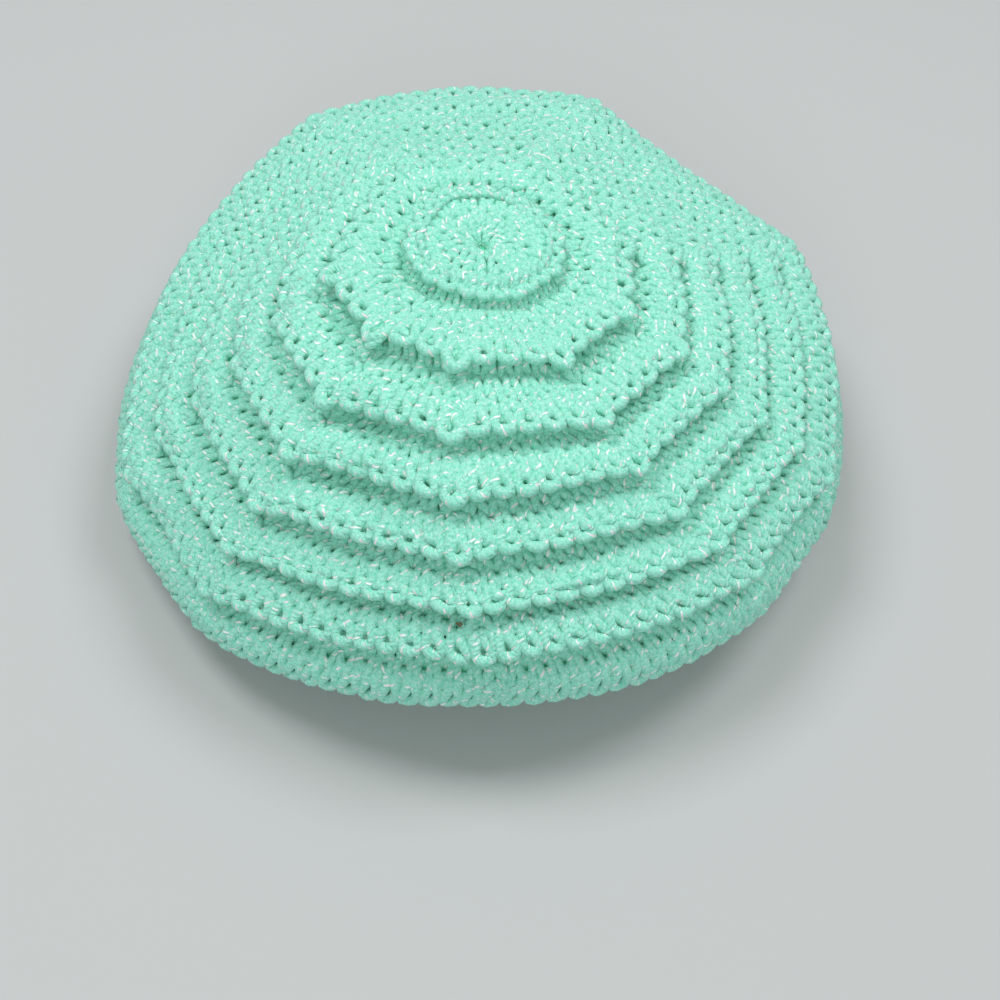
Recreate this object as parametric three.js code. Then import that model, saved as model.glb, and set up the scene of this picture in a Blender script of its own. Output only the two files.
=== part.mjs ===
// Knit beret: a soft ridged bag in eight wedges on a ribbed head band, knitted in one piece.
// Millimetres, +Z up, the back of the hat towards -Y, the foot of the band on z = 0.
import * as THREE from 'three';

// Driving sizes
const bagReach = 114; // radius of the bag at its rim
const bagHeight = 86; // from the gathered crown centre down to the underside
const rimSlide = 12; // the slouching rim sits this far towards the front of the crown centre
const bandReach = 80; // outer radius of the ribbed band
const bandHeight = 30; // height of the ribbed band
const underLift = 16; // the underside hangs this far above the foot of the band
const wall = 3.2; // thickness of the knitted fabric
const ridgeRise = 3.2; // how far a purl ridge stands over the foot of the step below it
const ribDepth = 1; // depth of the grooves between the ribs of the band
const centreDimple = 2.4; // depth of the gathered crown centre
const columnsPerWedge = 12; // faces across one wedge, three to a rib of the band

// Rings: one purl ridge each, from the crown centre out over the rim and under it.
// reach is a share of bagReach, down a share of bagHeight, slide a share of rimSlide.
// leanX and leanY tip the ring (rise per run); round goes from straight sides (0) to a circle (1).
// sag is how far the ring follows the drop and roundness of the wedges, ridge how tall its ridge is.
const ringTable = [
  { name: 'centre', reach: 0, down: 0, slide: 0, leanX: 0, leanY: 0, round: 1.0, sag: 0, ridge: 0 },
  { name: 'ridge1', reach: 0.15, down: 0.01, slide: -0.08, leanX: -0.08, leanY: -0.045, round: 0.6, sag: 0.12, ridge: 0.4 },
  { name: 'ridge2', reach: 0.315, down: 0.06, slide: -0.25, leanX: -0.055, leanY: -0.045, round: 0.5, sag: 0.25, ridge: 0.9 },
  { name: 'ridge3', reach: 0.465, down: 0.15, slide: -0.34, leanX: -0.015, leanY: -0.045, round: 0.45, sag: 0.37, ridge: 1.0 },
  { name: 'ridge4', reach: 0.585, down: 0.255, slide: -0.3, leanX: 0.02, leanY: -0.035, round: 0.4, sag: 0.5, ridge: 1.0 },
  { name: 'ridge5', reach: 0.7, down: 0.37, slide: -0.12, leanX: 0.03, leanY: -0.01, round: 0.3, sag: 0.62, ridge: 1.0 },
  { name: 'ridge6', reach: 0.815, down: 0.485, slide: 0.2, leanX: 0.04, leanY: 0.015, round: 0.3, sag: 0.75, ridge: 1.1 },
  { name: 'ridge7', reach: 0.92, down: 0.61, slide: 0.62, leanX: 0.04, leanY: 0.015, round: 0.4, sag: 0.87, ridge: 1.2 },
  { name: 'rim', reach: 1.0, down: 0.785, slide: 0.9, leanX: 0.03, leanY: 0.03, round: 0.6, sag: 1.0, ridge: 1.1 },
  { name: 'tuck', reach: 0.94, down: 0.95, slide: 0.9, leanX: 0.02, leanY: 0.025, round: 0.8, sag: 0.8, ridge: 0.6 },
  { name: 'under', reach: 0.8, down: 1.0, slide: 0.9, leanX: 0, leanY: 0, round: 0.9, sag: 0.35, ridge: 0.3 },
];

// Wedges: the line of decreases that starts each wedge, counted anticlockwise from the right.
// The angles are in degrees where the line leaves the crown centre, crosses the rim and meets the band.
// drop lowers (-) or lifts (+) the rim there by a share of bagHeight.
// round is how round the wedge's stretch of the rim is: 1 an arc, 0 a straight chord, below 0 a hollow one.
const wedgeTable = [
  { name: 'right', atCentre: 10, atRim: 27, atBand: 22, drop: -0.02, round: -0.35 },
  { name: 'frontRight', atCentre: 74, atRim: 71, atBand: 67, drop: 0.07, round: 1.0 },
  { name: 'frontLeft', atCentre: 124, atRim: 122, atBand: 115, drop: 0.08, round: 0.7 },
  { name: 'left', atCentre: 185, atRim: 204, atBand: 170, drop: -0.13, round: 0.4 },
  { name: 'backLeft', atCentre: 226, atRim: 229, atBand: 215, drop: -0.08, round: 0.9 },
  { name: 'back', atCentre: 257, atRim: 274, atBand: 262, drop: 0.095, round: 1.0 },
  { name: 'backRight', atCentre: 295, atRim: 317, atBand: 307, drop: -0.01, round: 0.3 },
  { name: 'lowRight', atCentre: 339, atRim: 337, atBand: 342, drop: -0.05, round: 0.7 },
];

// Folds: a hollow in the fabric under each ridge from firstRing to lastRing.
// angle is in degrees at firstRing and turns by turn from ring to ring; width is in degrees.
// under is how far below its ridge the hollow lies (share of a ring), depth a share of bagHeight.
const foldTable = [
  { name: 'leftPleats', angle: 190, turn: 4, firstRing: 3, lastRing: 6, width: 7, under: 0.35, depth: 0.035 },
  { name: 'rightPleats', angle: 8, turn: 2, firstRing: 2, lastRing: 6, width: 8, under: 0.35, depth: 0.03 },
  { name: 'lowRightPleats', angle: 322, turn: 2, firstRing: 3, lastRing: 5, width: 7, under: 0.35, depth: 0.02 },
  { name: 'backLeftHollow', angle: 240, turn: 3, firstRing: 3, lastRing: 4, width: 9, under: 0.4, depth: 0.035 },
  { name: 'rimStepRight', angle: 326, turn: 0, firstRing: 7, lastRing: 7, width: 7, under: 0.7, depth: 0.06 },
  { name: 'rimStepFar', angle: 30, turn: 0, firstRing: 7, lastRing: 7, width: 9, under: 0.8, depth: 0.05 },
  { name: 'rimFoldLeft', angle: 212, turn: 0, firstRing: 7, lastRing: 7, width: 7, under: 0.5, depth: 0.045 },
];

// Places between two ridges, as shares of the step, and how much of the ridge stands there.
const stepTable = [
  { name: 'crest', place: 0.0, stand: 1.0 },
  { name: 'foot', place: 0.2, stand: 0.0 },
  { name: 'rise', place: 0.6, stand: 0.3 },
];

// Rows of the band below the bag: up is a share of bandHeight, reach a share of bandReach.
// groove is how deep the grooves between the ribs are there.
const bandTable = [
  { name: 'seam', up: 1.0, reach: 1.0, groove: 0.5 },
  { name: 'middle', up: 0.55, reach: 0.985, groove: 1.0 },
  { name: 'hem', up: 0.12, reach: 1.0, groove: 1.0 },
  { name: 'foot', up: 0.0, reach: 0.99, groove: 0.6 },
];

// Places of the rows on the plain inside, counted in rings from the foot of the band to the crown.
const insidePlaces = [13.6, 12.4, 11.3, 10.4, 9.6, 8.9, 8.2, 7.4, 6.6, 5.8, 5.0, 4.2, 3.4, 2.6, 1.8, 1.0, 0.4];

const degree = Math.PI / 180;
const columnCount = wedgeTable.length * columnsPerWedge;
const rimIndex = ringTable.findIndex((row) => row.name === 'rim');
const mix = (a, b, share) => a + (b - a) * share;
const hump = (distance, width) => Math.exp(-((distance / width) ** 2));

// All rings and band rows in millimetres, from the crown centre to the foot.
// outward carries a wedge line from its centre angle to its rim angle, even on to its band angle.
const bagRings = ringTable.map((row, index) => ({
  reach: row.reach * bagReach,
  height: underLift + bagHeight * (1 - row.down),
  slide: row.slide * rimSlide,
  leanX: row.leanX,
  leanY: row.leanY,
  round: row.round,
  sag: row.sag,
  ridge: row.ridge * ridgeRise,
  groove: 0,
  outward: Math.min(1, index / rimIndex),
  even: Math.max(0, index - rimIndex) / (ringTable.length - rimIndex),
}));
const bandRings = bandTable.map((row) => ({
  reach: row.reach * bandReach,
  height: row.up * bandHeight,
  slide: rimSlide * ringTable.at(-1).slide,
  leanX: 0,
  leanY: 0,
  round: 1,
  sag: 0,
  ridge: 0,
  groove: row.groove * ribDepth,
  outward: 1,
  even: 1,
}));
const rings = [...bagRings, ...bandRings];
const footIndex = rings.length - 1;

// A point of the smooth fabric on one ring: its sides run between straight and round.
function ringPoint(ring, column) {
  const wedge = Math.floor(column / columnsPerWedge) % wedgeTable.length;
  const share = (column % columnsPerWedge) / columnsPerWedge;
  const from = wedgeTable[wedge];
  const to = wedgeTable[(wedge + 1) % wedgeTable.length];
  const angleOf = (line) => mix(mix(line.atCentre, line.atRim, ring.outward), line.atBand, ring.even) * degree;
  const start = angleOf(from);
  const end = angleOf(to) + (wedge === wedgeTable.length - 1 ? 2 * Math.PI : 0);
  const turn = mix(start, end, share);
  const round = mix(ring.round, from.round, ring.sag ** 2);
  const x = ring.reach * mix(mix(Math.cos(start), Math.cos(end), share), Math.cos(turn), round);
  const y = ring.reach * mix(mix(Math.sin(start), Math.sin(end), share), Math.sin(turn), round);
  const drop = mix(from.drop, to.drop, share) * ring.sag * bagHeight;
  return new THREE.Vector3(x, y + ring.slide, ring.height + drop + ring.leanX * x + ring.leanY * y);
}

// A smooth curve through the rings down one column (Catmull-Rom), at any place between them.
function columnPoint(place, column) {
  const wrapped = (column + columnCount) % columnCount;
  const at = Math.min(footIndex - 1, Math.max(0, Math.floor(place)));
  const t = place - at;
  const near = [-1, 0, 1, 2].map((step) => {
    const index = Math.min(footIndex, Math.abs(at + step));
    const across = at + step < 0 ? (wrapped + columnCount / 2) % columnCount : wrapped;
    return ringPoint(rings[index], across);
  });
  const weights = [
    -0.5 * t ** 3 + t ** 2 - 0.5 * t,
    1.5 * t ** 3 - 2.5 * t ** 2 + 1,
    -1.5 * t ** 3 + 2 * t ** 2 + 0.5 * t,
    0.5 * t ** 3 - 0.5 * t ** 2,
  ];
  const point = new THREE.Vector3();
  near.forEach((ringCorner, index) => point.addScaledVector(ringCorner, weights[index]));
  return point;
}

// The outward direction of the fabric at a place.
function outwardAt(place, column) {
  const reach = 0.12;
  const down = columnPoint(Math.min(footIndex, place + reach), column)
    .sub(columnPoint(Math.max(0.02, place - reach), column));
  const round = columnPoint(place, column + 1).sub(columnPoint(place, column - 1));
  return down.cross(round).normalize();
}

// How deep the fabric is folded in at a place: the pleats, and the gathered crown centre.
function foldDepth(place, point) {
  const at = Math.min(footIndex - 1, Math.floor(place));
  const slide = mix(rings[at].slide, rings[at + 1].slide, place - at);
  const angle = Math.atan2(point.y - slide, point.x) / degree;
  let depth = centreDimple * hump(place, 0.3);
  for (const fold of foldTable) {
    for (let ring = fold.firstRing; ring <= fold.lastRing; ring += 1) {
      const middle = fold.angle + fold.turn * (ring - fold.firstRing);
      const aside = ((angle - middle + 540) % 360) - 180;
      depth += fold.depth * bagHeight * hump(aside, fold.width) * hump(place - ring - fold.under, 0.35);
    }
  }
  return depth;
}

// One corner of the mesh: rise lifts it off the smooth fabric, or sinks it to the inside.
function corner(place, column, rise) {
  const point = columnPoint(place, column);
  const lift = rise - foldDepth(place, point);
  point.addScaledVector(outwardAt(place, column), lift);
  if (place === footIndex) point.z = 0;
  return point;
}

// Rows of corners from the crown centre down the ridged outside, round the foot and up the inside.
function fabricRows() {
  const rows = [];
  const addRow = (place, riseOf) => {
    rows.push(Array.from({ length: columnCount }, (unused, column) => corner(place, column, riseOf(column))));
  };
  bagRings.forEach((ring, index) => {
    const next = rings[index + 1];
    for (const step of stepTable) {
      const isPole = index + step.place === 0;
      const standing = step.place === 0 ? ring.ridge : next.ridge;
      if (!isPole) addRow(index + step.place, () => step.stand * standing);
    }
  });
  bandRings.forEach((ring, index) => {
    addRow(bagRings.length + index, (column) => (column % 3 === 1 ? -ring.groove : 0));
  });
  addRow(footIndex, () => -wall);
  for (const place of insidePlaces) addRow(place, () => -wall);
  return rows;
}

// The closed skin: quads between the rows, and a fan at the crown centre on each side.
function fabricGeometry() {
  const rows = fabricRows();
  const places = rows.flat().flatMap((point) => [point.x, point.y, point.z]);
  const outer = places.length / 3;
  const inner = outer + 1;
  const top = columnPoint(0, 0);
  places.push(0, top.y, top.z - centreDimple);
  places.push(0, top.y, top.z - centreDimple - wall);
  const faces = [];
  for (let column = 0; column < columnCount; column += 1) {
    const next = (column + 1) % columnCount;
    faces.push(outer, column, next);
    for (let row = 0; row + 1 < rows.length; row += 1) {
      const a = row * columnCount + column;
      const b = row * columnCount + next;
      faces.push(a, a + columnCount, b, b, a + columnCount, b + columnCount);
    }
    const last = (rows.length - 1) * columnCount;
    faces.push(last + column, inner, last + next);
  }
  const geometry = new THREE.BufferGeometry();
  geometry.setAttribute('position', new THREE.Float32BufferAttribute(places, 3));
  geometry.setIndex(faces);
  geometry.computeBoundingBox();
  const middle = geometry.boundingBox.getCenter(new THREE.Vector3());
  geometry.translate(-middle.x, -middle.y, -geometry.boundingBox.min.z);
  geometry.computeVertexNormals();
  return geometry;
}

// Mint yarn with a pale shine
const yarn = new THREE.MeshStandardMaterial({ color: 0x86dfc4, roughness: 0.9, metalness: 0 });
const beret = new THREE.Mesh(fabricGeometry(), yarn);
beret.name = 'beret';

const group = new THREE.Group();
group.add(beret);

export default group;
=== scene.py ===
import math
import time
import bpy
import numpy as np
from mathutils import Matrix, Vector


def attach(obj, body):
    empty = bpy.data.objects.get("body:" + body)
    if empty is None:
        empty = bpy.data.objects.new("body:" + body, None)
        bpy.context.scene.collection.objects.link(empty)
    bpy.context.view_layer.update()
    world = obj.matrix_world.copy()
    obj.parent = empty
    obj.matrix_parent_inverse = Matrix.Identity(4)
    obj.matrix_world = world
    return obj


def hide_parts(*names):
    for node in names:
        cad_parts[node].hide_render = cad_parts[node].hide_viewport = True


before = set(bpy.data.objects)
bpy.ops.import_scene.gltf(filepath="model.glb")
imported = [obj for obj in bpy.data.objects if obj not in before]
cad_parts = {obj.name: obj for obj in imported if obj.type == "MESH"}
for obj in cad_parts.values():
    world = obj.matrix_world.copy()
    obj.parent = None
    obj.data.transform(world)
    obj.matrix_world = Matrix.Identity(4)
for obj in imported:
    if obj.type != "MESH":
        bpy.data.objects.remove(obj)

# A hand-knitted mint beret. The fabric is a smooth surface, found from the same rings, wedges and folds as
# the solid, and every stitch is a loop of plied yarn laid along it.

startTime = time.time()
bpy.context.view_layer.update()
mm = 0.001

# Driving sizes in millimetres, as in the solid
sizes = {
    "bagReach": 114.0,  # radius of the bag at its rim
    "bagHeight": 86.0,  # crown centre down to the underside
    "rimSlide": 12.0,  # the rim sits this far in front of the crown centre
    "bandReach": 80.0,  # outer radius of the ribbed band
    "bandHeight": 30.0,
    "underLift": 16.0,  # underside above the foot of the band
    "wall": 3.2,
    "ridgeRise": 3.2,
    "centreDimple": 2.4,
}

# Rings: name, reach, down, slide, leanX, leanY, round, sag, ridge
ringRows = [
    ("centre", 0, 0, 0, 0, 0, 1.0, 0, 0),
    ("ridge1", 0.15, 0.01, -0.08, -0.08, -0.045, 0.6, 0.12, 0.4),
    ("ridge2", 0.315, 0.06, -0.25, -0.055, -0.045, 0.5, 0.25, 0.9),
    ("ridge3", 0.465, 0.15, -0.34, -0.015, -0.045, 0.45, 0.37, 1.0),
    ("ridge4", 0.585, 0.255, -0.3, 0.02, -0.035, 0.4, 0.5, 1.0),
    ("ridge5", 0.7, 0.37, -0.12, 0.03, -0.01, 0.3, 0.62, 1.0),
    ("ridge6", 0.815, 0.485, 0.2, 0.04, 0.015, 0.3, 0.75, 1.1),
    ("ridge7", 0.92, 0.61, 0.62, 0.04, 0.015, 0.4, 0.87, 1.2),
    ("rim", 1.0, 0.785, 0.9, 0.03, 0.03, 0.6, 1.0, 1.1),
    ("tuck", 0.94, 0.95, 0.9, 0.02, 0.025, 0.8, 0.8, 0.6),
    ("under", 0.8, 1.0, 0.9, 0, 0, 0.9, 0.35, 0.3),
]

# Band rows: name, up, reach
bandRows = [
    ("seam", 1.0, 1.0),
    ("middle", 0.55, 0.985),
    ("hem", 0.12, 1.0),
    ("foot", 0.0, 0.99),
]

# Wedges: name, angle at the centre, at the rim and at the band in degrees, drop, round, and how much deeper
# the valleys between its ridges are pulled
wedgeRows = [
    ("right", 10, 27, 22, -0.02, -0.35, 1.5),
    ("frontRight", 74, 71, 67, 0.07, 1.0, 1.35),
    ("frontLeft", 124, 122, 115, 0.08, 0.7, 1.55),
    ("left", 185, 204, 170, -0.13, 0.4, 1.65),
    ("backLeft", 226, 229, 215, -0.08, 0.9, 1.15),
    ("back", 257, 274, 262, 0.095, 1.0, 1.0),
    ("backRight", 295, 317, 307, -0.01, 0.3, 1.15),
    ("lowRight", 339, 337, 342, -0.05, 0.7, 1.45),
]
wedgeColumns = ["centreAngle", "rimAngle", "bandAngle", "drop", "round", "deep"]

# Folds: name, angle, turn per ring, first ring, last ring, width, under, depth
foldRows = [
    ("leftPleats", 190, 4, 3, 6, 7, 0.35, 0.035),
    ("rightPleats", 8, 2, 2, 6, 8, 0.35, 0.03),
    ("lowRightPleats", 322, 2, 3, 5, 7, 0.35, 0.02),
    ("backLeftHollow", 240, 3, 3, 4, 9, 0.4, 0.035),
    ("rimStepRight", 326, 0, 7, 7, 7, 0.7, 0.06),
    ("rimStepFar", 30, 0, 7, 7, 9, 0.8, 0.05),
    ("rimFoldLeft", 212, 0, 7, 7, 7, 0.5, 0.045),
]
foldLength = 0.35  # how far a fold reaches along the fabric, in rings
dimpleReach = 0.3  # how far the gathered centre reaches, in rings

# How much of a ridge stands at each share of the step from it to the next one
stepPlaces = [0.0, 0.1, 0.25, 0.5, 0.75, 1.0]
stepStands = [1.0, 0.6, -0.9, -0.6, 0.25, 1.0]
crestShare = 0.3  # up to this share of the step, the relief still belongs to the ridge behind

# The solid is centred on its own box, which moves the crown centre to here, in millimetres
crownShift = np.array([-1.61, -10.85, 0.0])

wedgeCount = len(wedgeRows)
rimIndex = [row[0] for row in ringRows].index("rim")
seamIndex = len(ringRows)
footIndex = len(ringRows) + len(bandRows) - 1
ringPlaces = np.arange(footIndex + 1)


def mix(a, b, share):
    return a + (b - a) * share


def hump(distance, width):
    return np.exp(-((distance / width) ** 2))


# One array per quantity over all rings and band rows, in millimetres: the shares times the driving sizes
def ringArrays():
    bag = np.array([row[1:] for row in ringRows], float)
    band = np.array([row[1:] for row in bandRows], float)
    index = np.arange(len(bag))
    blank = np.zeros(len(band))
    ones = np.ones(len(band))
    return {
        "reach": np.concatenate([bag[:, 0] * sizes["bagReach"], band[:, 1] * sizes["bandReach"]]),
        "height": np.concatenate([
            sizes["underLift"] + sizes["bagHeight"] * (1 - bag[:, 1]),
            band[:, 0] * sizes["bandHeight"],
        ]),
        "slide": np.concatenate([bag[:, 2], bag[-1, 2] * ones]) * sizes["rimSlide"],
        "leanX": np.concatenate([bag[:, 3], blank]),
        "leanY": np.concatenate([bag[:, 4], blank]),
        "round": np.concatenate([bag[:, 5], ones]),
        "sag": np.concatenate([bag[:, 6], blank]),
        "ridge": np.concatenate([bag[:, 7] * sizes["ridgeRise"], blank]),
        "outward": np.concatenate([np.minimum(1, index / rimIndex), ones]),
        "even": np.concatenate([np.maximum(0, index - rimIndex) / (len(bag) - rimIndex), ones]),
    }


rings = ringArrays()
wedges = dict(zip(wedgeColumns, np.array([row[1:] for row in wedgeRows], float).T))


# Angle of a wedge line on a ring: from its angle at the centre to that at the rim, and on to that at the band
def lineAngle(ring, line):
    onBag = mix(wedges["centreAngle"][line], wedges["rimAngle"][line], rings["outward"][ring])
    return np.radians(mix(onBag, wedges["bandAngle"][line], rings["even"][ring]))


# Points on the rings: each side runs from one wedge line to the next, between a straight chord (round 0) and
# an arc (round 1), and its height is that of the ring plus its drop and its lean times x and y
def ringPoints(ring, wedgePlace):
    wedgePlace = wedgePlace % wedgeCount
    wedge = np.minimum(wedgeCount - 1, np.floor(wedgePlace).astype(int))
    share = wedgePlace - wedge
    after = (wedge + 1) % wedgeCount
    start = lineAngle(ring, wedge)
    end = lineAngle(ring, after)
    end = np.where(wedge == wedgeCount - 1, end + 2 * np.pi, end)
    turn = mix(start, end, share)
    sag = rings["sag"][ring]
    roundness = mix(rings["round"][ring], wedges["round"][wedge], sag ** 2)
    reach = rings["reach"][ring]
    x = reach * mix(mix(np.cos(start), np.cos(end), share), np.cos(turn), roundness)
    y = reach * mix(mix(np.sin(start), np.sin(end), share), np.sin(turn), roundness)
    drop = mix(wedges["drop"][wedge], wedges["drop"][after], share) * sag * sizes["bagHeight"]
    z = rings["height"][ring] + drop + rings["leanX"][ring] * x + rings["leanY"][ring] * y
    return np.stack([x, y + rings["slide"][ring], z], -1)


# Points of the smooth fabric at any place: a Catmull-Rom curve through the four nearest rings, which past the
# centre go on down the other side
def smoothPoints(place, wedgePlace):
    at = np.clip(np.floor(place).astype(int), 0, footIndex - 1)
    t = (place - at)[..., None]
    weights = [
        -0.5 * t ** 3 + t ** 2 - 0.5 * t,
        1.5 * t ** 3 - 2.5 * t ** 2 + 1,
        -1.5 * t ** 3 + 2 * t ** 2 + 0.5 * t,
        0.5 * t ** 3 - 0.5 * t ** 2,
    ]
    total = 0
    for step, weight in zip((-1, 0, 1, 2), weights):
        ring = np.minimum(footIndex, np.abs(at + step))
        across = np.where(at + step < 0, wedgePlace + wedgeCount / 2, wedgePlace)
        total = total + weight * ringPoints(ring, across)
    return total


# Outward direction: the cross product of the ways down the fabric and round it
def outwardAt(place, wedgePlace):
    reach = 0.12
    side = 1 / 12
    nearest = 0.02  # the way down starts this far from the centre, in rings
    down = smoothPoints(np.minimum(footIndex, place + reach), wedgePlace)
    down = down - smoothPoints(np.maximum(nearest, place - reach), wedgePlace)
    sideways = smoothPoints(place, wedgePlace + side) - smoothPoints(place, wedgePlace - side)
    normal = np.cross(down, sideways)
    return normal / np.linalg.norm(normal, axis=-1, keepdims=True)


# How deep the fabric is folded in: Gaussian hollows under the ridges, and the gathered centre
def foldDepth(place, points):
    slide = np.interp(place, ringPlaces, rings["slide"])
    angle = np.degrees(np.arctan2(points[..., 1] - slide, points[..., 0]))
    depth = sizes["centreDimple"] * hump(place, dimpleReach)
    for name, middle, turn, firstRing, lastRing, width, under, share in foldRows:
        for ring in range(firstRing, lastRing + 1):
            aside = (angle - middle - turn * (ring - firstRing) + 540) % 360 - 180
            hollow = hump(aside, width) * hump(place - ring - under, foldLength)
            depth = depth + share * sizes["bagHeight"] * hollow
    return depth


# Relief with its valleys made deeper by the share of the wedge, blended from one wedge's middle to the next
def deepened(relief, wedgePlace):
    shares = np.append(wedges["deep"], wedges["deep"][0])
    share = np.interp((wedgePlace - 0.5) % wedgeCount, np.arange(wedgeCount + 1), shares)
    return np.where(relief < 0, relief * share, relief)


# How far the fabric stands out for its ridges: the step table times the height of the ridge it leads to
def ridgeStand(place, wedgePlace):
    at = np.clip(np.floor(place).astype(int), 0, footIndex - 1)
    share = place - at
    stand = np.interp(share, stepPlaces, stepStands)
    height = np.where(share < crestShare, rings["ridge"][at], rings["ridge"][at + 1])
    return deepened(stand * height, wedgePlace)


# A point at lift over the folded fabric, in metres in the shared frame
def fabricPoints(place, wedgePlace, lift):
    points = smoothPoints(place, wedgePlace)
    total = lift - foldDepth(place, points)
    points = points + outwardAt(place, wedgePlace) * total[..., None]
    return (points + crownShift) * mm


print("fabric surface ready")

# Yarn and stitches in millimetres and in shares of a stitch
yarn = {
    "radius": 1.38,
    "narrow": 0.27,  # most of a stitch's width that the radius takes
    "pulse": 0.06,  # how much thicker and thinner the yarn gets along a row
    "pulseTurn": 2.4,  # how far the pulse moves on from stitch to stitch, in radians
    "sink": 1.5,  # middle of the yarn under the fabric surface
    "swell": 0.22,  # how far the legs of a loop lean, in stitch widths
    "overlap": 0.95,  # half the height of a loop, in rows
    "weave": 1.05,  # how far a loop goes in and out of the fabric
    "samples": 14,
    "sides": 6,
    "meetFrom": 0.7,  # from here on to the edge of a stitch, its loop takes on the neighbour's side
    "meetOver": 0.6,
    "twistShift": 17.3,  # how much further along the twist the yarn starts, for each ring
    "seed": 7,
}

# Unevenness of hand knitting: how much each measure differs from stitch to stitch
uneven = {"height": 0.05, "shift": 0.045, "side": 0.025, "depth": 0.16, "radius": 0.03}

rowsPerRidge = 4
stitchWidth = 5.7
countBefore = 0.3  # the stitches of a ridge's rows are counted this far inside the ridge, in rings
nearestPlace = 0.015  # yarn starts this far from the crown centre, in rings

# Rows point outwards where they cross a wedge line: how far in rings, and how wide in wedges
lineDip = {"reach": 0.14, "width": 0.1}

# Rows of a ridge, from its crest outwards: how much of the ridge a loop stands at its middle, and what is
# added at its head and at its foot; then whether its foot, legs and head lie in front (1) or behind (-1), and
# how thick the yarn bunches up
rowTable = [
    {"name": "purl", "stand": 1.05, "atHead": -0.35, "atFoot": 0.08,
     "foot": 1.0, "legs": -0.1, "head": -1.0, "thick": 1.2},
    {"name": "step", "stand": -0.9, "atHead": 1.8, "atFoot": 0.05,
     "foot": -1.0, "legs": 0.7, "head": 0.9, "thick": 1.0},
    {"name": "low", "stand": -0.6, "atHead": -0.3, "atFoot": 0.45,
     "foot": -1.0, "legs": 1.0, "head": -1.0, "thick": 1.0},
    {"name": "high", "stand": 0.25, "atHead": -0.65, "atFoot": 0.7,
     "foot": -1.0, "legs": 1.0, "head": -1.0, "thick": 1.0},
]
plainRow = {"name": "plain", "stand": 0, "atHead": 0, "atFoot": 0,
            "foot": -1.0, "legs": 1.0, "head": -1.0, "thick": 1.0}

generator = np.random.default_rng(yarn["seed"])


# A smooth mesh from arrays of points and of faces that all have the same number of corners
def newMesh(name, points, faces, uv=None):
    mesh = bpy.data.meshes.new(name)
    mesh.vertices.add(len(points))
    mesh.vertices.foreach_set("co", points.ravel())
    corners = faces.shape[1]
    mesh.loops.add(faces.size)
    mesh.loops.foreach_set("vertex_index", faces.ravel().astype(np.int32))
    mesh.polygons.add(len(faces))
    mesh.polygons.foreach_set("loop_start", (np.arange(len(faces)) * corners).astype(np.int32))
    mesh.polygons.foreach_set("loop_total", np.full(len(faces), corners, np.int32))
    mesh.polygons.foreach_set("use_smooth", np.ones(len(faces), bool))
    if uv is not None:
        mesh.uv_layers.new(name="yarn").data.foreach_set("uv", uv.ravel())
    mesh.update()
    mesh.validate()
    piece = bpy.data.objects.new(name, mesh)
    bpy.context.scene.collection.objects.link(piece)
    return piece


# A closed tube of yarn along a ring of points: point + radius (cos turn side + sin turn front), and its UV in
# millimetres along the yarn and turns round it
def closedTube(points, fronts, radius, phase):
    count = len(points)
    sides = yarn["sides"]
    along = np.roll(points, -1, 0) - np.roll(points, 1, 0)
    along /= np.linalg.norm(along, axis=1, keepdims=True)
    side = np.cross(along, fronts)
    side /= np.linalg.norm(side, axis=1, keepdims=True)
    front = np.cross(side, along)
    turn = np.arange(sides) * 2 * np.pi / sides
    ring = np.cos(turn)[None, :, None] * side[:, None] + np.sin(turn)[None, :, None] * front[:, None]
    vertices = points[:, None] + radius[:, None, None] * ring
    i = np.arange(count)[:, None]
    j = np.arange(sides)[None, :]
    nextI = (i + 1) % count
    nextJ = (j + 1) % sides
    corners = [i * sides + j, i * sides + nextJ, nextI * sides + nextJ, nextI * sides + j]
    faces = np.stack(corners, -1).reshape(-1, 4)
    length = np.linalg.norm(np.roll(points, -1, 0) - points, axis=1) / mm
    start = np.concatenate([[0], np.cumsum(length)[:-1]]) + phase
    end = start + length
    u0 = np.broadcast_to(start[:, None], (count, sides))
    u1 = np.broadcast_to(end[:, None], (count, sides))
    v0 = np.broadcast_to(j / sides, (count, sides))
    v1 = v0 + 1 / sides
    uv = np.stack([np.stack(pair, -1) for pair in ((u0, v0), (u0, v1), (u1, v1), (u1, v0))], 2)
    return vertices.reshape(-1, 3), faces, uv.reshape(-1, 2)


# Slow uneven change from stitch to stitch: noise plus half of each neighbour's, divided by the 1.22 that this
# spreads it
def wander(count, size):
    noise = generator.normal(0, size, count)
    return (noise + np.roll(noise, 1) * 0.5 + np.roll(noise, -1) * 0.5) / 1.22


# Stitches of each wedge: its length along the row divided by the width of a stitch, as a running count
def wedgeCounts(place):
    cuts = 16
    fine = np.linspace(0, wedgeCount, wedgeCount * cuts + 1)
    points = smoothPoints(np.full(len(fine), float(place)), fine)
    lengths = np.linalg.norm(np.diff(points, axis=0), axis=1).reshape(wedgeCount, cuts).sum(1)
    return np.concatenate([[0], np.cumsum(np.maximum(1, np.round(lengths / stitchWidth)))]).astype(int)


# Where a stitch lies round the hat, in wedges: the running count read backwards
def wedgeOf(position, counts):
    total = counts[-1]
    turns = np.floor(position / total)
    return np.interp(position - turns * total, counts, np.arange(wedgeCount + 1)) + turns * wedgeCount


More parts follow.
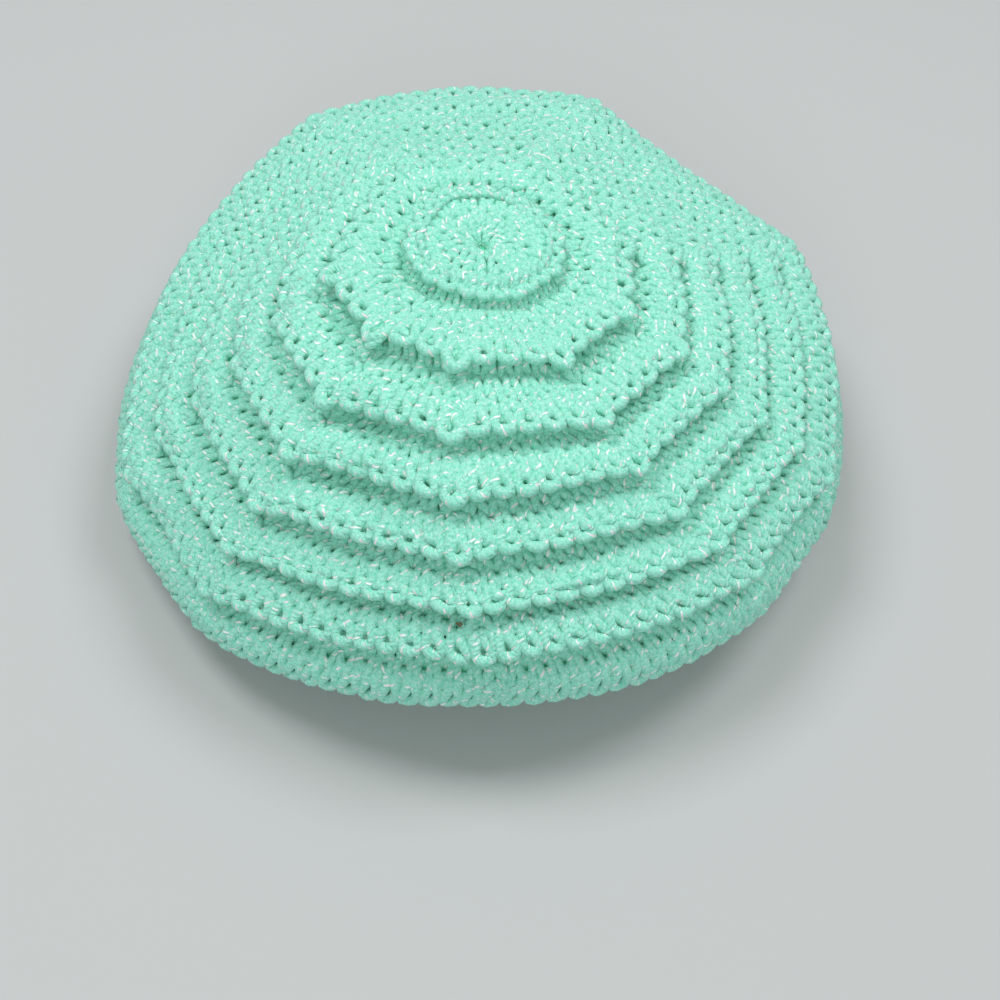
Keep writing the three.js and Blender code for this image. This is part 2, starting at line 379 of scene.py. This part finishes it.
# One knitted row: along it a loop is x = t/2pi + swell sin 2t, up the wale -overlap cos t, in and out
# weave (foot, legs and head weighted by cos2 t, sin2 t and cos2 t), turned inside out in the purl wales of
# ribbing. Near its neighbours a loop takes half of their side and lift.
def stitchRow(place, rowHeight, counts, row, purl, lift, overlap, dip):
    count = counts[-1]
    samples = yarn["samples"]
    stitch = np.repeat(np.arange(count), samples)
    t = np.tile(np.arange(samples) * 2 * np.pi / samples, count)
    cosine = np.cos(t)
    across = t / (2 * np.pi) + yarn["swell"] * np.sin(2 * t)
    wobble = wander(count, uneven["height"])[stitch]
    shift = wander(count, uneven["shift"])[stitch]
    up = -overlap * cosine * (1 + wobble) + shift
    wedgePlace = wedgeOf(stitch + across + wander(count, uneven["side"])[stitch], counts)
    edge = np.abs(t / (2 * np.pi) - 0.5) * 2
    weight = np.clip((edge - yarn["meetFrom"]) / yarn["meetOver"], 0, 0.5)
    other = np.where(t < np.pi, stitch - 1, stitch + 1) % count
    side = mix(purl[stitch], purl[other], weight)
    isFoot = np.maximum(0, cosine) ** 2
    isHead = np.maximum(0, -cosine) ** 2
    inFront = row["foot"] * isFoot + row["legs"] * np.sin(t) ** 2 + row["head"] * isHead
    depth = yarn["weave"] * side * inFront
    sunk = mix(lift[stitch], lift[other], weight)
    height = rings["ridge"][min(math.ceil(place), footIndex)]
    relief = (row["stand"] + row["atHead"] * np.maximum(0, up) - row["atFoot"] * np.minimum(0, up)) * height
    relief = deepened(relief, wedgePlace)
    total = relief - yarn["sink"] + depth + sunk + wander(count, uneven["depth"])[stitch]
    aside = wedgePlace - np.round(wedgePlace)
    placeHere = place - up * rowHeight + dip * hump(aside, lineDip["width"])
    placeHere = np.clip(placeHere, nearestPlace, footIndex)
    points = fabricPoints(placeHere, wedgePlace, total)
    fronts = outwardAt(placeHere, wedgePlace)
    width = 2 * np.pi * np.interp(place, ringPlaces, rings["reach"]) / count
    thick = min(yarn["radius"], width * yarn["narrow"]) * row["thick"] * mm
    pulse = yarn["pulse"] * np.sin(stitch * yarn["pulseTurn"] + t)
    radius = thick * (1 + pulse + wander(count, uneven["radius"])[stitch])
    return closedTube(points, fronts, radius, place * yarn["twistShift"])


def joinTubes(tubes):
    offsets = np.cumsum([0] + [len(tube[0]) for tube in tubes[:-1]])
    points = np.concatenate([tube[0] for tube in tubes])
    faces = np.concatenate([tube[1] + offset for tube, offset in zip(tubes, offsets)])
    uv = np.concatenate([tube[2] for tube in tubes])
    return points, faces, uv


# Where the rows of the bag change, in rings from the crown centre
bagPlan = {
    "gatherUntil": 0.3,  # one stitch to a wedge up to here, drawn together
    "gatherOverlap": 0.62,  # the gathered loops are this much lower
    "ridgesFrom": 0.9,
    "ridgesUntil": rimIndex + 1,
    "cornersFrom": 1.6,  # rows point outwards on the wedge lines from here
    "cornersUntil": rimIndex + 0.6,
    "innerCount": 1.3,  # the innermost ridge has the narrower stitches of this place
}


# Rows of the bag from the centre to the underside, four to a ridge, each a purl, step, low or high row
def bagRows():
    tubes = []
    for step in range(1, seamIndex * rowsPerRidge):
        place = step / rowsPerRidge
        ring = min(seamIndex - 1, math.ceil(place))
        across = bagPlan["innerCount"] if place == 1 else ring - countBefore
        counts = wedgeCounts(across) if place > bagPlan["gatherUntil"] else np.arange(wedgeCount + 1)
        ridged = bagPlan["ridgesFrom"] < place < bagPlan["ridgesUntil"]
        row = rowTable[step % rowsPerRidge] if ridged else plainRow
        dip = lineDip["reach"] if bagPlan["cornersFrom"] < place < bagPlan["cornersUntil"] else 0
        overlap = yarn["overlap"] * (bagPlan["gatherOverlap"] if place < bagPlan["gatherUntil"] else 1)
        purl = np.ones(counts[-1])
        lift = np.zeros(counts[-1])
        tubes.append(stitchRow(place, 1 / rowsPerRidge, counts, row, purl, lift, overlap, dip))
    return tubes


band = {
    "stitches": 12,  # to each wedge
    "rows": 7,
    "deep": 1.83,  # how far the rows go on below the seam, in band rows
    "overlap": 0.85,
    "knitLift": 0.2,  # the knit wales stand out and the purl wales lie back, in millimetres
    "purlLift": -1.0,
}


# Ribbing: two knit wales stand out and one purl wale lies back, turned inside out
def bandTubes():
    places = np.linspace(seamIndex, seamIndex + band["deep"], band["rows"])
    counts = np.arange(wedgeCount + 1) * band["stitches"]
    purl = np.arange(counts[-1]) % 3 == 1
    face = np.where(purl, -1.0, 1.0)
    lift = np.where(purl, band["purlLift"], band["knitLift"])
    spacing = places[1] - places[0]
    return [stitchRow(place, spacing, counts, plainRow, face, lift, band["overlap"], 0) for place in places]


decrease = {
    "firstStep": 6,  # rows from the crown centre to the first raised decrease stitch
    "samples": 12,
    "width": 1.25,  # in stitches
    "half": 0.5,  # half its width in shares of that
    "head": 0.35,  # how much wider its head is than its foot
    "lean": 0.12,  # the stitches of every second line lean the other way
    "up": 1.02,  # half its height, in rows
    "out": 0.75,  # how far it stands out, and how far its head is tucked in, in millimetres
    "tuck": 1.6,
    "thick": 0.95,  # its yarn against that of the rows
    "twistShift": 11.1,  # how much further along the twist its yarn starts, for each ring and for each line
    "lineShift": 5.7,
    "follow": 0.75,  # how much of the ridge's relief it follows, and what is added
    "rise": 0.15,
}


# A raised decrease stitch on a wedge line: a teardrop ring, wide at its head, across = half sin t (1 - head +
# head cos t) + lean cos t, up = cos t, its head tucked under the stitch above
def decreaseStitch(place, rowHeight, line, width, stand):
    t = np.arange(decrease["samples"]) * 2 * np.pi / decrease["samples"]
    lean = decrease["lean"] if line % 2 else -decrease["lean"]
    taper = 1 - decrease["head"] + decrease["head"] * np.cos(t)
    across = (decrease["half"] * np.sin(t) * taper + lean * np.cos(t)) * width
    up = np.cos(t) * decrease["up"]
    depth = decrease["out"] - decrease["tuck"] * np.maximum(0, np.cos(t)) ** 2 + stand
    placeHere = np.clip(place - up * rowHeight + lineDip["reach"], nearestPlace, footIndex)
    points = fabricPoints(placeHere, line + across, depth - yarn["sink"])
    fronts = outwardAt(placeHere, line + across)
    radius = np.full(len(t), yarn["radius"] * mm * decrease["thick"])
    return closedTube(points, fronts, radius, place * decrease["twistShift"] + line * decrease["lineShift"])


# The raised stitches of all the wedge lines: one to each row, as wide as the stitches on both sides of it
def decreaseTubes():
    tubes = []
    for line in range(wedgeCount):
        for step in range(decrease["firstStep"], rimIndex * rowsPerRidge + 1):
            place = step / rowsPerRidge
            ring = math.ceil(place)
            follow = rowTable[step % rowsPerRidge]["stand"] * decrease["follow"] + decrease["rise"]
            stand = deepened(follow * rings["ridge"][ring], line)
            beside = np.diff(wedgeCounts(ring - countBefore))[[line - 1, line]]
            width = decrease["width"] / np.mean(beside)
            tubes.append(decreaseStitch(place, 1 / rowsPerRidge, line, width, stand))
    return tubes


backingPlan = {
    "columns": 18,  # to each wedge
    "start": 0.06,  # first row from the centre, in rings
    "rows": 8,  # to each ring
    "bandRows": 14,
    "end": 0.1,  # the last row stops this far above the foot, in band rows
    "ridgesFrom": 0.95,
    "follow": 0.95,  # how much of the ridges' relief it follows
    "under": 2.3,  # outside of the backing under the fabric surface, in millimetres
    "inside": 0.3,  # its inside lies this much below the wall
    "clear": 0.3,  # it stays this far above the floor
}


# Backing of the fabric: a thin closed sheet under the yarn, from the crown centre to the foot and back inside.
# Its lift is follow x relief - under, and on the inside follow x relief - wall - inside.
def backingPiece():
    columns = wedgeCount * backingPlan["columns"]
    bagPlaces = np.arange(backingPlan["start"], seamIndex, 1 / backingPlan["rows"])
    bandPlaces = np.linspace(seamIndex, footIndex - backingPlan["end"], backingPlan["bandRows"])
    outerPlaces = np.concatenate([bagPlaces, bandPlaces])
    places = np.concatenate([outerPlaces, outerPlaces[::-1]])
    rows = len(places)
    outer = np.arange(rows) < len(outerPlaces)
    place, wedgePlace = np.meshgrid(places, np.arange(columns) * wedgeCount / columns, indexing="ij")
    ridged = (place > backingPlan["ridgesFrom"]) & (place < bagPlan["ridgesUntil"])
    stand = np.where(ridged, ridgeStand(place, wedgePlace), 0)
    below = np.where(outer[:, None], backingPlan["under"], sizes["wall"] + backingPlan["inside"])
    points = fabricPoints(place, wedgePlace, stand * backingPlan["follow"] - below)
    points[..., 2] = np.maximum(points[..., 2], backingPlan["clear"] * mm)
    i = np.arange(rows - 1)[:, None]
    j = np.arange(columns)[None, :]
    nextJ = (j + 1) % columns
    corners = [i * columns + j, (i + 1) * columns + j, (i + 1) * columns + nextJ, i * columns + nextJ]
    faces = np.stack(corners, -1).reshape(-1, 4)
    poles = [points[0].mean(0), points[-1].mean(0)]
    outerPole = columns * rows
    last = columns * (rows - 1)
    top = [(outerPole, a, (a + 1) % columns) for a in range(columns)]
    inner = [(outerPole + 1, last + (a + 1) % columns, last + a) for a in range(columns)]
    mesh = bpy.data.meshes.new("backing")
    vertices = np.vstack([points.reshape(-1, 3), poles])
    mesh.from_pydata(vertices.tolist(), [], faces.tolist() + top + inner)
    mesh.polygons.foreach_set("use_smooth", np.ones(len(mesh.polygons), bool))
    mesh.update()
    piece = bpy.data.objects.new("backing", mesh)
    bpy.context.scene.collection.objects.link(piece)
    return piece


# Rows are joined into a few pieces, each with at most so many four-sided faces
def addTubePieces(name, tubes, material, most=90000):
    group = []
    total = 0
    made = []
    for tube in tubes + [None]:
        if tube is None or total + len(tube[1]) > most:
            piece = newMesh(f"{name}{len(made) + 1}", *joinTubes(group))
            piece.data.materials.append(material)
            made.append(piece)
            group = []
            total = 0
        if tube is not None:
            group.append(tube)
            total += len(tube[1])
    return made


def linear(hexColour):
    channels = [int(hexColour[i:i + 2], 16) / 255 for i in (1, 3, 5)]
    return tuple(c / 12.92 if c <= 0.04045 else ((c + 0.055) / 1.055) ** 2.4 for c in channels) + (1.0,)


# Cells of a pattern to a metre, from the size of one cell in millimetres
def perMetre(size):
    return 1 / (size * mm)


# Sets the inputs of a node: a socket is linked, anything else is the input's own value
def setInputs(tree, node, values):
    for key, value in values.items():
        if isinstance(value, bpy.types.NodeSocket):
            tree.links.new(value, node.inputs[key])
        else:
            node.inputs[key].default_value = value


# Adds a node with its settings and its inputs, which are given in order or by name
def addNode(tree, kind, *inOrder, **byName):
    node = tree.nodes.new(kind)
    inputs = dict(enumerate(inOrder))
    for key, value in byName.items():
        if key in node.inputs:
            inputs[key] = value
        else:
            setattr(node, key, value)
    setInputs(tree, node, inputs)
    return node


def newMaterial(name):
    material = bpy.data.materials.new(name)
    material.use_nodes = True
    tree = material.node_tree
    return material, tree, tree.nodes["Principled BSDF"]


acrylicIor = 1.49

# Sizes in millimetres, heights in shares of the bump
yarnFinish = {
    "mint": "#ACEBDA",
    "deep": "#6CD9BC",
    # filament colours, near-white and pink: partly the filament's own colour and partly painted highlight for
    # its sparkle
    "filamentAndPaintedGlint": "#FAFAF6",
    "filamentAndPaintedGlintPink": "#F6EAF0",
    "sheen": "#D8FFF0",
    "twist": 4.2,  # one turn of the plies
    "plies": 3,
    "plyHeight": 0.45,
    "fibre": 0.714,  # drawn coarser than a real fibre, so that it shows
    "fibreHeight": 0.8,
    "relief": 0.35,
    "fleck": 1.613,  # how often the filament shows
    "tone": 11.11,
}


# Plied acrylic yarn: mint strands and one glossy white filament twisted round each other, slightly fuzzy. The
# plies give it soft diagonal ridges, the filament short bright dashes, whose near-white is partly the
# filament's own colour and partly painted highlight standing in for its sparkle.
def yarnMaterial():
    look = yarnFinish
    material, tree, shader = newMaterial("mintAcrylicYarnWithFilamentAndPaintedGlints")
    uv = addNode(tree, "ShaderNodeUVMap", uv_map="yarn")
    split = addNode(tree, "ShaderNodeSeparateXYZ", uv.outputs[0])
    along, around = split.outputs[0], split.outputs[1]
    place = addNode(tree, "ShaderNodeTexCoord").outputs["Object"]
    fibres = addNode(tree, "ShaderNodeTexNoise", Vector=place, Scale=perMetre(look["fibre"]), Detail=3.0,
                     Roughness=0.6)
    tone = addNode(tree, "ShaderNodeTexNoise", Vector=place, Scale=perMetre(look["tone"]), Detail=2.0)
    flecks = addNode(tree, "ShaderNodeTexNoise", Vector=place, Scale=perMetre(look["fleck"]), Detail=1.0)
    # strand phase = turns of the twist along the yarn + place round it, in turns
    turns = addNode(tree, "ShaderNodeMath", along, 1 / look["twist"], around, operation="MULTIPLY_ADD")
    wave = addNode(tree, "ShaderNodeMath", turns.outputs[0], look["plies"] * math.pi, operation="MULTIPLY")
    sine = addNode(tree, "ShaderNodeMath", wave.outputs[0], operation="SINE")
    ridge = addNode(tree, "ShaderNodeMath", sine.outputs[0], operation="ABSOLUTE")
    ply = addNode(tree, "ShaderNodeMath", ridge.outputs[0], look["plyHeight"], operation="MULTIPLY")
    # filament: a narrow band of the twist, broken where it dips among the strands; the white of its dashes is
    # partly the filament's own colour and partly painted highlight
    circle = addNode(tree, "ShaderNodeMath", turns.outputs[0], 2 * math.pi, operation="MULTIPLY")
    strand = addNode(tree, "ShaderNodeMath", circle.outputs[0], operation="SINE")
    narrow = addNode(tree, "ShaderNodeMapRange", strand.outputs[0], 0.88, 0.97)
    shown = addNode(tree, "ShaderNodeMapRange", flecks.outputs["Fac"], 0.48, 0.54)
    filamentAndPaintedGlintMask = addNode(tree, "ShaderNodeMath", narrow.outputs[0], shown.outputs[0], operation="MULTIPLY")
    amount = addNode(tree, "ShaderNodeMapRange", fibres.outputs["Fac"], 0.3, 0.62)
    base = addNode(tree, "ShaderNodeMix", data_type="RGBA", Factor=amount.outputs[0],
                   A=linear(look["deep"]), B=linear(look["mint"]))
    filamentAndPaintedGlint = addNode(tree, "ShaderNodeMix", data_type="RGBA", Factor=tone.outputs["Fac"],
                    A=linear(look["filamentAndPaintedGlint"]), B=linear(look["filamentAndPaintedGlintPink"]))
    # painted highlight: the filament's dashes are mixed in as near-white colour, partly its own and partly
    # standing in for sparkle
    colour = addNode(tree, "ShaderNodeMix", data_type="RGBA", Factor=filamentAndPaintedGlintMask.outputs[0],
                     A=base.outputs["Result"], B=filamentAndPaintedGlint.outputs["Result"])
    rough = addNode(tree, "ShaderNodeMapRange", filamentAndPaintedGlintMask.outputs[0], 0.0, 1.0, 0.82, 0.28)
    height = addNode(tree, "ShaderNodeMath", fibres.outputs["Fac"], look["fibreHeight"], ply.outputs[0],
                     operation="MULTIPLY_ADD")
    bump = addNode(tree, "ShaderNodeBump", Strength=0.9, Distance=look["relief"] * mm,
                   Height=height.outputs[0])
    setInputs(tree, shader, {
        "Base Color": colour.outputs["Result"],
        "Roughness": rough.outputs[0],
        "Normal": bump.outputs[0],
        "IOR": acrylicIor,
        "Sheen Weight": 0.25,
        "Sheen Roughness": 0.5,
        "Sheen Tint": linear(look["sheen"]),
    })
    return material


# Loose fibres of the same acrylic, paler where light passes through them
def fuzzMaterial():
    material, tree, shader = newMaterial("mintAcrylicFuzz")
    place = addNode(tree, "ShaderNodeTexCoord").outputs["Object"]
    tone = addNode(tree, "ShaderNodeTexNoise", Vector=place, Scale=perMetre(3.333))
    blend = addNode(tree, "ShaderNodeMix", data_type="RGBA", Factor=tone.outputs["Fac"],
                    A=linear("#A6F0D6"), B=linear("#DDFBF0"))
    setInputs(tree, shader, {"Base Color": blend.outputs["Result"], "Roughness": 0.6, "IOR": acrylicIor})
    return material


# The inside of the fabric between its stitches: the same yarn in shade, with rows of small bumps
def backingMaterial():
    material, tree, shader = newMaterial("mintAcrylicKnitInside")
    place = addNode(tree, "ShaderNodeTexCoord").outputs["Object"]
    cells = addNode(tree, "ShaderNodeTexVoronoi", Vector=place, Scale=perMetre(4.762))
    noise = addNode(tree, "ShaderNodeTexNoise", Vector=place, Scale=perMetre(1.111), Detail=3.0)
    blend = addNode(tree, "ShaderNodeMix", data_type="RGBA", Factor=noise.outputs["Fac"],
                    A=linear("#40CC9A"), B=linear("#68DDB2"))
    bump = addNode(tree, "ShaderNodeBump", Strength=0.8, Distance=1.2 * mm, Height=cells.outputs["Distance"],
                   invert=True)
    setInputs(tree, shader, {
        "Base Color": blend.outputs["Result"],
        "Roughness": 0.85,
        "Normal": bump.outputs[0],
        "IOR": acrylicIor,
    })
    return material


yarnLook = yarnMaterial()
bagPieces = addTubePieces("bagStitches", bagRows(), yarnLook)
bandPieces = addTubePieces("bandStitches", bandTubes(), yarnLook)
linePieces = addTubePieces("decreaseStitches", decreaseTubes(), yarnLook)
print("stitches ready", [len(piece.data.polygons) * 2 for piece in bagPieces + bandPieces + linePieces])

backing = backingPiece()
backing.data.materials.append(backingMaterial())
print("backing ready")

# Lengths in millimetres
fuzzPlan = {
    "count": 52000,
    "spread": 0.55,  # how far the fibres lean from the way out of the yarn
    "bendMost": 1.2,
    "shape": 3.0,  # of the gamma distribution of lengths, and its scale
    "scale": 0.75,
    "longest": 4.5,
    "middle": 0.55,  # its middle and its tip along the way out, and how far the tip bends aside, in lengths
    "tip": 0.85,
    "aside": 0.45,
    "half": 0.045,  # half the width of a fibre, drawn wider than real so that it shows
    "clear": 0.2,  # they stay this far above the floor
    "outer": 0.2,  # they grow where the yarn faces out at least this much
}


# Coordinates or normals of a piece's vertices, as rows of three
def vertexRows(piece, kind):
    values = np.empty(len(piece.data.vertices) * 3)
    piece.data.vertices.foreach_get(kind, values)
    return values.reshape(-1, 3)


# Roots of the fuzz: the vertices of the bag's yarn whose normal points away from the middle of the hat
def fuzzRoots():
    points = np.concatenate([vertexRows(piece, "co") for piece in bagPieces + linePieces])
    normals = np.concatenate([vertexRows(piece, "normal") for piece in bagPieces + linePieces])
    out = points - np.array([0, 0, sizes["bandHeight"] * mm])
    out /= np.linalg.norm(out, axis=1, keepdims=True)
    keep = (normals * out).sum(1) > fuzzPlan["outer"]
    return points[keep], normals[keep]


# Fuzz: thin tapered ribbons of three triangles, from the root over a middle to the tip, which is root + tip x
# length along the way out + aside x length along its bend
def fuzzPiece(sources, normals):
    count = fuzzPlan["count"]
    pick = generator.integers(0, len(sources), count)
    root = sources[pick]
    way = normals[pick] + generator.normal(0, fuzzPlan["spread"], (count, 3))
    way /= np.linalg.norm(way, axis=1, keepdims=True)
    bend = np.clip(generator.normal(0, 1, (count, 3)), -fuzzPlan["bendMost"], fuzzPlan["bendMost"])
    length = generator.gamma(fuzzPlan["shape"], fuzzPlan["scale"], count)
    length = np.minimum(length, fuzzPlan["longest"])[:, None] * mm
    middle = root + way * length * fuzzPlan["middle"]
    tip = root + way * length * fuzzPlan["tip"] + bend * length * fuzzPlan["aside"]
    side = np.cross(way, bend)
    side /= np.linalg.norm(side, axis=1, keepdims=True)
    half = side * (fuzzPlan["half"] * mm)
    points = np.stack([root - half, root + half, middle + half, middle - half, tip], 1)
    base = np.arange(count)[:, None] * 5
    faces = np.concatenate([base + [0, 1, 2], base + [0, 2, 3], base + [3, 2, 4]])
    points = points.reshape(-1, 3)
    points[:, 2] = np.maximum(points[:, 2], fuzzPlan["clear"] * mm)
    return newMesh("fuzz", points, faces)


fuzz = fuzzPiece(*fuzzRoots())
fuzz.data.materials.append(fuzzMaterial())
print("fuzz ready")

# Brown lint caught in the yarn: curls of one thin fibre, each a ring laid on the fabric
lint = {
    "places": [(6.72, 4.94), (8.15, 6.92)],  # on the back and on the right rim: rings down, wedges round
    "long": 0.77,  # half the length, half the width and the wave of a curl, in millimetres
    "wide": 0.33,
    "wave": 0.3,
    "radius": 0.2,
    "lift": 1.3,
    "points": 10,
}


# Lint of brown wool, dull and slightly mottled
def lintMaterial():
    material, tree, shader = newMaterial("brownLint")
    place = addNode(tree, "ShaderNodeTexCoord").outputs["Object"]
    noise = addNode(tree, "ShaderNodeTexNoise", Vector=place, Scale=perMetre(0.4))
    blend = addNode(tree, "ShaderNodeMix", data_type="RGBA", Factor=noise.outputs["Fac"],
                    A=linear("#6E4A2C"), B=linear("#9A7148"))
    setInputs(tree, shader, {"Base Color": blend.outputs["Result"], "Roughness": 0.9})
    return material


# A curl is middle + long cos t side + wide sin t up + wave sin 2t front, one closed tube for each place
def lintPiece():
    tubes = []
    t = np.arange(lint["points"]) * 2 * np.pi / lint["points"]
    for place, wedgePlace in lint["places"]:
        place = np.array([place])
        wedgePlace = np.array([wedgePlace])
        middle = fabricPoints(place, wedgePlace, np.array([lint["lift"]]))[0]
        front = outwardAt(place, wedgePlace)[0]
        side = np.cross(front, [0, 0, 1])
        side /= np.linalg.norm(side)
        up = np.cross(side, front)
        curl = np.cos(t)[:, None] * side * lint["long"] + np.sin(t)[:, None] * up * lint["wide"]
        points = middle + (curl + np.sin(2 * t)[:, None] * front * lint["wave"]) * mm
        fronts = np.broadcast_to(front, points.shape)
        tubes.append(closedTube(points, fronts, np.full(len(t), lint["radius"] * mm), 0))
    piece = newMesh("lint", *joinTubes(tubes))
    piece.data.materials.append(lintMaterial())
    return piece


for piece in bagPieces + bandPieces + linePieces + [backing, fuzz, lintPiece()]:
    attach(piece, "root")
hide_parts("beret")
print("pieces ready")

floor = {"reach": 6.0, "pale": "#B9BCBC", "paler": "#C0C2C2", "cloud": 125.0}


# Plain floor of matt pale paint with a faint unevenness, one square
def floorPiece():
    material, tree, shader = newMaterial("palePaintedFloor")
    noise = addNode(tree, "ShaderNodeTexNoise", Scale=perMetre(floor["cloud"]))
    blend = addNode(tree, "ShaderNodeMix", data_type="RGBA", Factor=noise.outputs["Fac"],
                    A=linear(floor["pale"]), B=linear(floor["paler"]))
    setInputs(tree, shader, {"Base Color": blend.outputs["Result"], "Roughness": 0.7})
    corners = np.array([[-1, -1, 0], [1, -1, 0], [1, 1, 0], [-1, 1, 0]], float) * floor["reach"]
    piece = newMesh("floor", corners, np.array([[0, 1, 2, 3]]))
    piece.data.materials.append(material)
    return piece


floorPiece()

# Camera fitted to the photo: its elevation and roll in degrees, the distance to the crown centre in
# millimetres, the focal length in pixels, and the pixel where the crown centre is seen
camera = {
    "elevation": 44.6,
    "roll": -2.4,
    "distance": 403.7,
    "focal": 1450.0,
    "crown": (483.8, 243.8),
    "image": 1000,
    "sensor": 36.0,
}


def rotated(vector, axis, angle):
    return Matrix.Rotation(angle, 3, axis) @ vector


# Axes of a camera that looks along the line of sight, rolled, then turned so that the crown centre is off its
# middle
def addCamera():
    rise = math.radians(camera["elevation"])
    crown = Vector((crownShift * mm).tolist())
    crown.z = (sizes["underLift"] + sizes["bagHeight"] - sizes["centreDimple"]) * mm
    sight = Vector((0, math.cos(rise), -math.sin(rise)))
    right = Vector((1, 0, 0))
    up = right.cross(sight)
    half = camera["image"] / 2
    sideAngle = math.atan((camera["crown"][0] - half) / camera["focal"])
    upAngle = math.atan((half - camera["crown"][1]) / camera["focal"])
    roll = math.radians(camera["roll"])
    right, up = rotated(right, sight, roll), rotated(up, sight, roll)
    forward, up = rotated(sight, right, -upAngle), rotated(up, right, -upAngle)
    forward, right = rotated(forward, up, sideAngle), rotated(right, up, sideAngle)
    data = bpy.data.cameras.new("camera")
    data.sensor_width = camera["sensor"]
    data.lens = camera["sensor"] * camera["focal"] / camera["image"]
    data.clip_start = 0.01
    piece = bpy.data.objects.new("camera", data)
    axes = Matrix((right, up, -forward)).transposed().to_4x4()
    piece.matrix_world = Matrix.Translation(crown - sight * camera["distance"] * mm) @ axes
    bpy.context.scene.collection.objects.link(piece)
    bpy.context.scene.camera = piece


addCamera()


# A round soft light at a place, turned towards the middle of the hat
def addLight(name, place, size, power):
    data = bpy.data.lights.new(name, "AREA")
    data.shape = "DISK"
    data.size = size
    data.energy = power
    piece = bpy.data.objects.new(name, data)
    piece.location = place
    middle = Vector((0, 0, 0.05))
    piece.rotation_euler = (middle - Vector(place)).to_track_quat("-Z", "Y").to_euler()
    bpy.context.scene.collection.objects.link(piece)


# Soft light from high on both sides, and a weak fill by the camera: name, place and size in metres, power
lightRows = [
    ("softLeft", (-0.42, 0.2, 1.2), 0.5, 6.2),
    ("softRight", (0.5, 0.25, 1.15), 0.5, 5.2),
    ("softFill", (-0.1, -1.0, 0.9), 0.9, 4.6),
]
for row in lightRows:
    addLight(*row)

surroundings = {"Color": linear("#EEF3F2"), "Strength": 0.42}
world = bpy.data.worlds.new("studio")
world.use_nodes = True
setInputs(world.node_tree, world.node_tree.nodes["Background"], surroundings)
bpy.context.scene.world = world
bpy.context.scene.view_settings.view_transform = "Standard"

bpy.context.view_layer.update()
print("scene ready in", round(time.time() - startTime, 1), "s")
